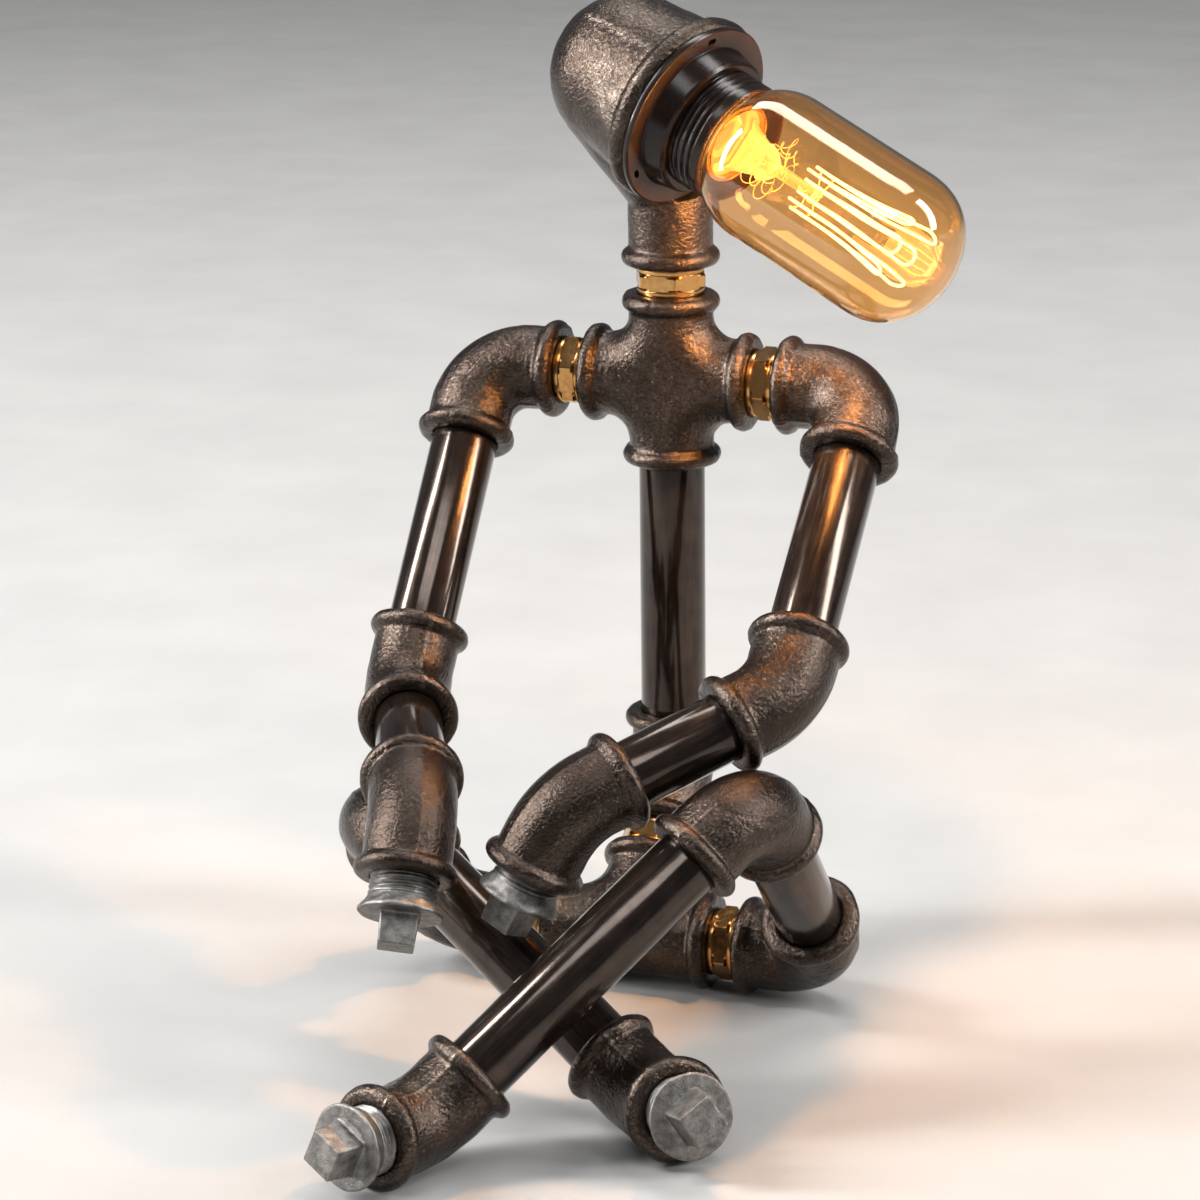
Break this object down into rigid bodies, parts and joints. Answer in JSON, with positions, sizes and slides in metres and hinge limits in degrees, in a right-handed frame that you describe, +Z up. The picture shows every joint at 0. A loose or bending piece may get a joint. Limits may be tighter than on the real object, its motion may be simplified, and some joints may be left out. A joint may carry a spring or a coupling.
{
  "type": "robot shaped desk lamp",
  "caption": "Desk lamp in the shape of a small seated robot, built of threaded pipe fittings, with a head that swivels and holds a bare bulb, and arms that swing and turn.",
  "frame": {"origin": "on the table under the middle of the lamp's outline", "axes": "+Z up; the lamp faces -Y; +X is the viewer's right for someone who faces the lamp"},
  "size_m": [0.1892, 0.2576, 0.3162],
  "materials": {
    "cast_iron": "lacquered, pebbled",
    "dark_pipe": "smooth, glossy lacquer",
    "galvanised_plug": "galvanised, rough",
    "brass_nipple": "polished",
    "black_rubber": "matt",
    "bakelite": "glossy",
    "white_ceramic": "matt",
    "contact_brass": "satin",
    "amber_glass": "clear, amber",
    "bulb_cap_metal": "satin",
    "stem_glass": "clear",
    "filament_wire": "glowing",
    "support_wire": "bright"
  },
  "bodies": {
    "trunk": {"hip_tee": "cast_iron", "waist_nipple": "brass_nipple", "waist_elbow": "cast_iron", "cable_grommet": "black_rubber", "torso_pipe": "dark_pipe", "chest_cross": "cast_iron", "neck_nipple": "brass_nipple", "trunk_lead": "black_rubber", "left_shoulder_nipple": "brass_nipple", "right_shoulder_nipple": "brass_nipple", "left_hip_nipple": "brass_nipple", "left_hip_elbow": "cast_iron", "left_thigh_pipe": "dark_pipe", "left_knee_elbow": "cast_iron", "left_shin_pipe": "dark_pipe", "left_foot_elbow": "cast_iron", "left_foot_plug": "galvanised_plug", "right_hip_nipple": "brass_nipple", "right_hip_elbow": "cast_iron", "right_thigh_pipe": "dark_pipe", "right_knee_elbow": "cast_iron", "right_shin_pipe": "dark_pipe", "right_foot_elbow": "cast_iron", "right_foot_plug": "galvanised_plug"},
    "head": {"head_casting": "cast_iron", "shade_ring": "bakelite", "lampholder_shell": "bakelite", "lampholder_base": "white_ceramic", "screw_shell": "contact_brass", "centre_contact": "contact_brass", "terminal_screws": "contact_brass", "head_lead": "black_rubber", "bulb_glass": "amber_glass", "bulb_cap": "bulb_cap_metal", "bulb_cap_insulator": "bakelite", "bulb_foot_contact": "contact_brass", "bulb_stem": "stem_glass", "filament": "filament_wire", "filament_supports": "support_wire"},
    "left_arm": {"left_shoulder_elbow": "cast_iron", "left_upper_arm_pipe": "dark_pipe"},
    "left_forearm": {"left_arm_elbow": "cast_iron", "left_forearm_pipe": "dark_pipe", "left_wrist_elbow": "cast_iron", "left_hand_plug": "galvanised_plug"},
    "right_arm": {"right_shoulder_elbow": "cast_iron", "right_upper_arm_pipe": "dark_pipe"},
    "right_forearm": {"right_arm_elbow": "cast_iron", "right_forearm_pipe": "dark_pipe", "right_wrist_elbow": "cast_iron", "right_hand_plug": "galvanised_plug"}
  },
  "joints": [
    {"name": "head_swivel", "type": "hinge", "parent": "trunk", "child": "head", "pos_m": [-0.01359, 0.11292, 0.22872], "axis": [0, 0, 1], "range_deg": [-158, 22]},
    {"name": "left_shoulder_swing", "type": "hinge", "parent": "trunk", "child": "left_arm", "pos_m": [-0.0787, 0.11292, 0.19162], "axis": [-1, 0, 0], "range_deg": [0, 45]},
    {"name": "left_elbow_turn", "type": "hinge", "parent": "left_arm", "child": "left_forearm", "pos_m": [-0.0787, 0.05439, 0.11935], "axis": [0, -0.6293, -0.7771], "range_deg": [0, 90]},
    {"name": "right_shoulder_swing", "type": "hinge", "parent": "trunk", "child": "right_arm", "pos_m": [0.05151, 0.11292, 0.19162], "axis": [-1, 0, 0], "range_deg": [0, 45]},
    {"name": "right_elbow_turn", "type": "hinge", "parent": "right_arm", "child": "right_forearm", "pos_m": [0.05151, 0.04231, 0.1311], "axis": [0, -0.7593, -0.6508], "range_deg": [-90, 0]}
  ]
}
